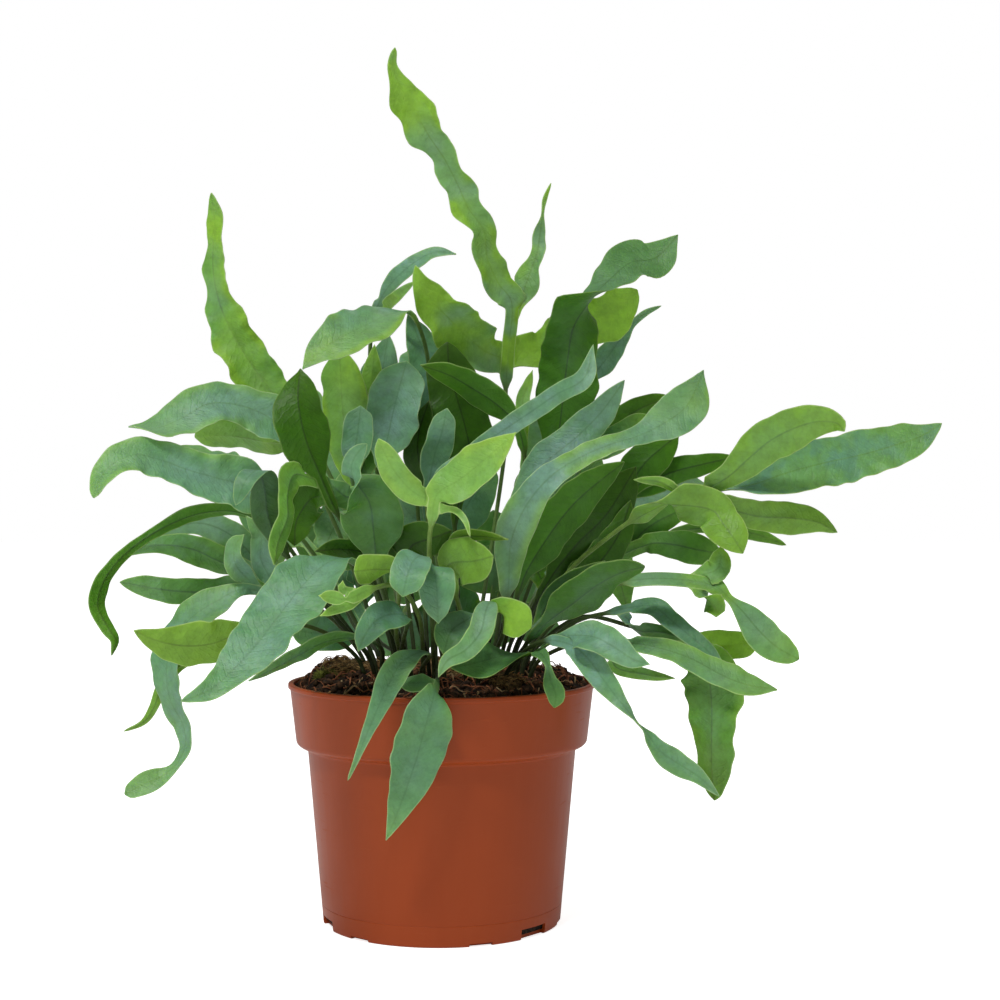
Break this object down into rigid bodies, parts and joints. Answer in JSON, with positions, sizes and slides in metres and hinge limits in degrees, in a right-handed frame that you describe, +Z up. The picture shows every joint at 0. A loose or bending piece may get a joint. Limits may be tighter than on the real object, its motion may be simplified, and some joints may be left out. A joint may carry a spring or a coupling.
{
  "type": "potted fern",
  "caption": "Fern with blue-grey lobed fronds on creeping rhizomes, rooted in compost in a tapered round nursery pot with a rim band.",
  "frame": {"origin": "centre of the pot's flat underside, where the pot stands", "axes": "+Z up out of the pot, -Y to the side seen in the picture, +X to the right in that view"},
  "size_m": [0.3358, 0.2423, 0.3417],
  "materials": {
    "pot_plastic": "terracotta-coloured moulded plastic, slight sheen",
    "compost": "moist peat and fibre, crumbly, matt",
    "rhizome": "golden-brown papery scales, matt",
    "frond_glaucous": "leathery leaf with a blue-grey bloom above and green below, matt to satin",
    "frond_green": "leathery leaf, mid green with a dark midrib, satin",
    "frond_young": "young leaf, bright yellow-green, satin"
  },
  "bodies": {
    "root": {"pot": "pot_plastic", "soil": "compost", "rhizome": "rhizome", "frond_tall": "frond_green", "frond_fold": "frond_green", "frond_twist": "frond_glaucous", "frond_dark_top": "frond_green", "frond_broad": "frond_green", "frond_back_blue": "frond_glaucous", "frond_round_blue": "frond_glaucous", "frond_arch": "frond_glaucous", "frond_slender": "frond_glaucous", "frond_left_tall": "frond_green", "frond_left_wing": "frond_glaucous", "frond_left_hook": "frond_glaucous", "frond_left_whip": "frond_green", "frond_left_back": "frond_green", "frond_front_left": "frond_glaucous", "frond_left_bright": "frond_young", "frond_left_hanging": "frond_glaucous", "frond_left_curl": "frond_glaucous", "frond_left_three": "frond_green", "frond_centre_curl": "frond_glaucous", "frond_round_small": "frond_glaucous", "frond_light_back": "frond_green", "frond_centre_strap": "frond_glaucous", "frond_young_three": "frond_young", "frond_dark_wave": "frond_green", "frond_bright_small": "frond_young", "frond_tongues": "frond_glaucous", "frond_bright_right": "frond_young", "frond_long_strap": "frond_glaucous", "frond_dark_right": "frond_green", "frond_deep_right": "frond_green", "frond_up_right": "frond_glaucous", "frond_right_pair": "frond_green", "frond_right_dark": "frond_green", "frond_right_great": "frond_young", "frond_right_second": "frond_green", "frond_right_arm": "frond_green", "frond_right_sickle": "frond_glaucous", "frond_right_hanging": "frond_green", "frond_right_strap": "frond_green", "frond_right_drop": "frond_glaucous", "frond_grey_pair": "frond_green", "frond_front_pair": "frond_young", "frond_front_dark": "frond_green", "frond_front_tongue": "frond_glaucous", "frond_front_whip": "frond_glaucous", "frond_front_small": "frond_glaucous", "frond_left_thin": "frond_glaucous", "frond_young_small": "frond_young", "frond_rear_narrow": "frond_glaucous", "frond_rear_left": "frond_green", "frond_rear_tall": "frond_glaucous", "frond_rear_right": "frond_green", "frond_rear_far_right": "frond_glaucous", "frond_rear_far_left": "frond_green", "frond_rear_low_left": "frond_glaucous", "frond_rear_low_right": "frond_green"}
  },
  "joints": []
}
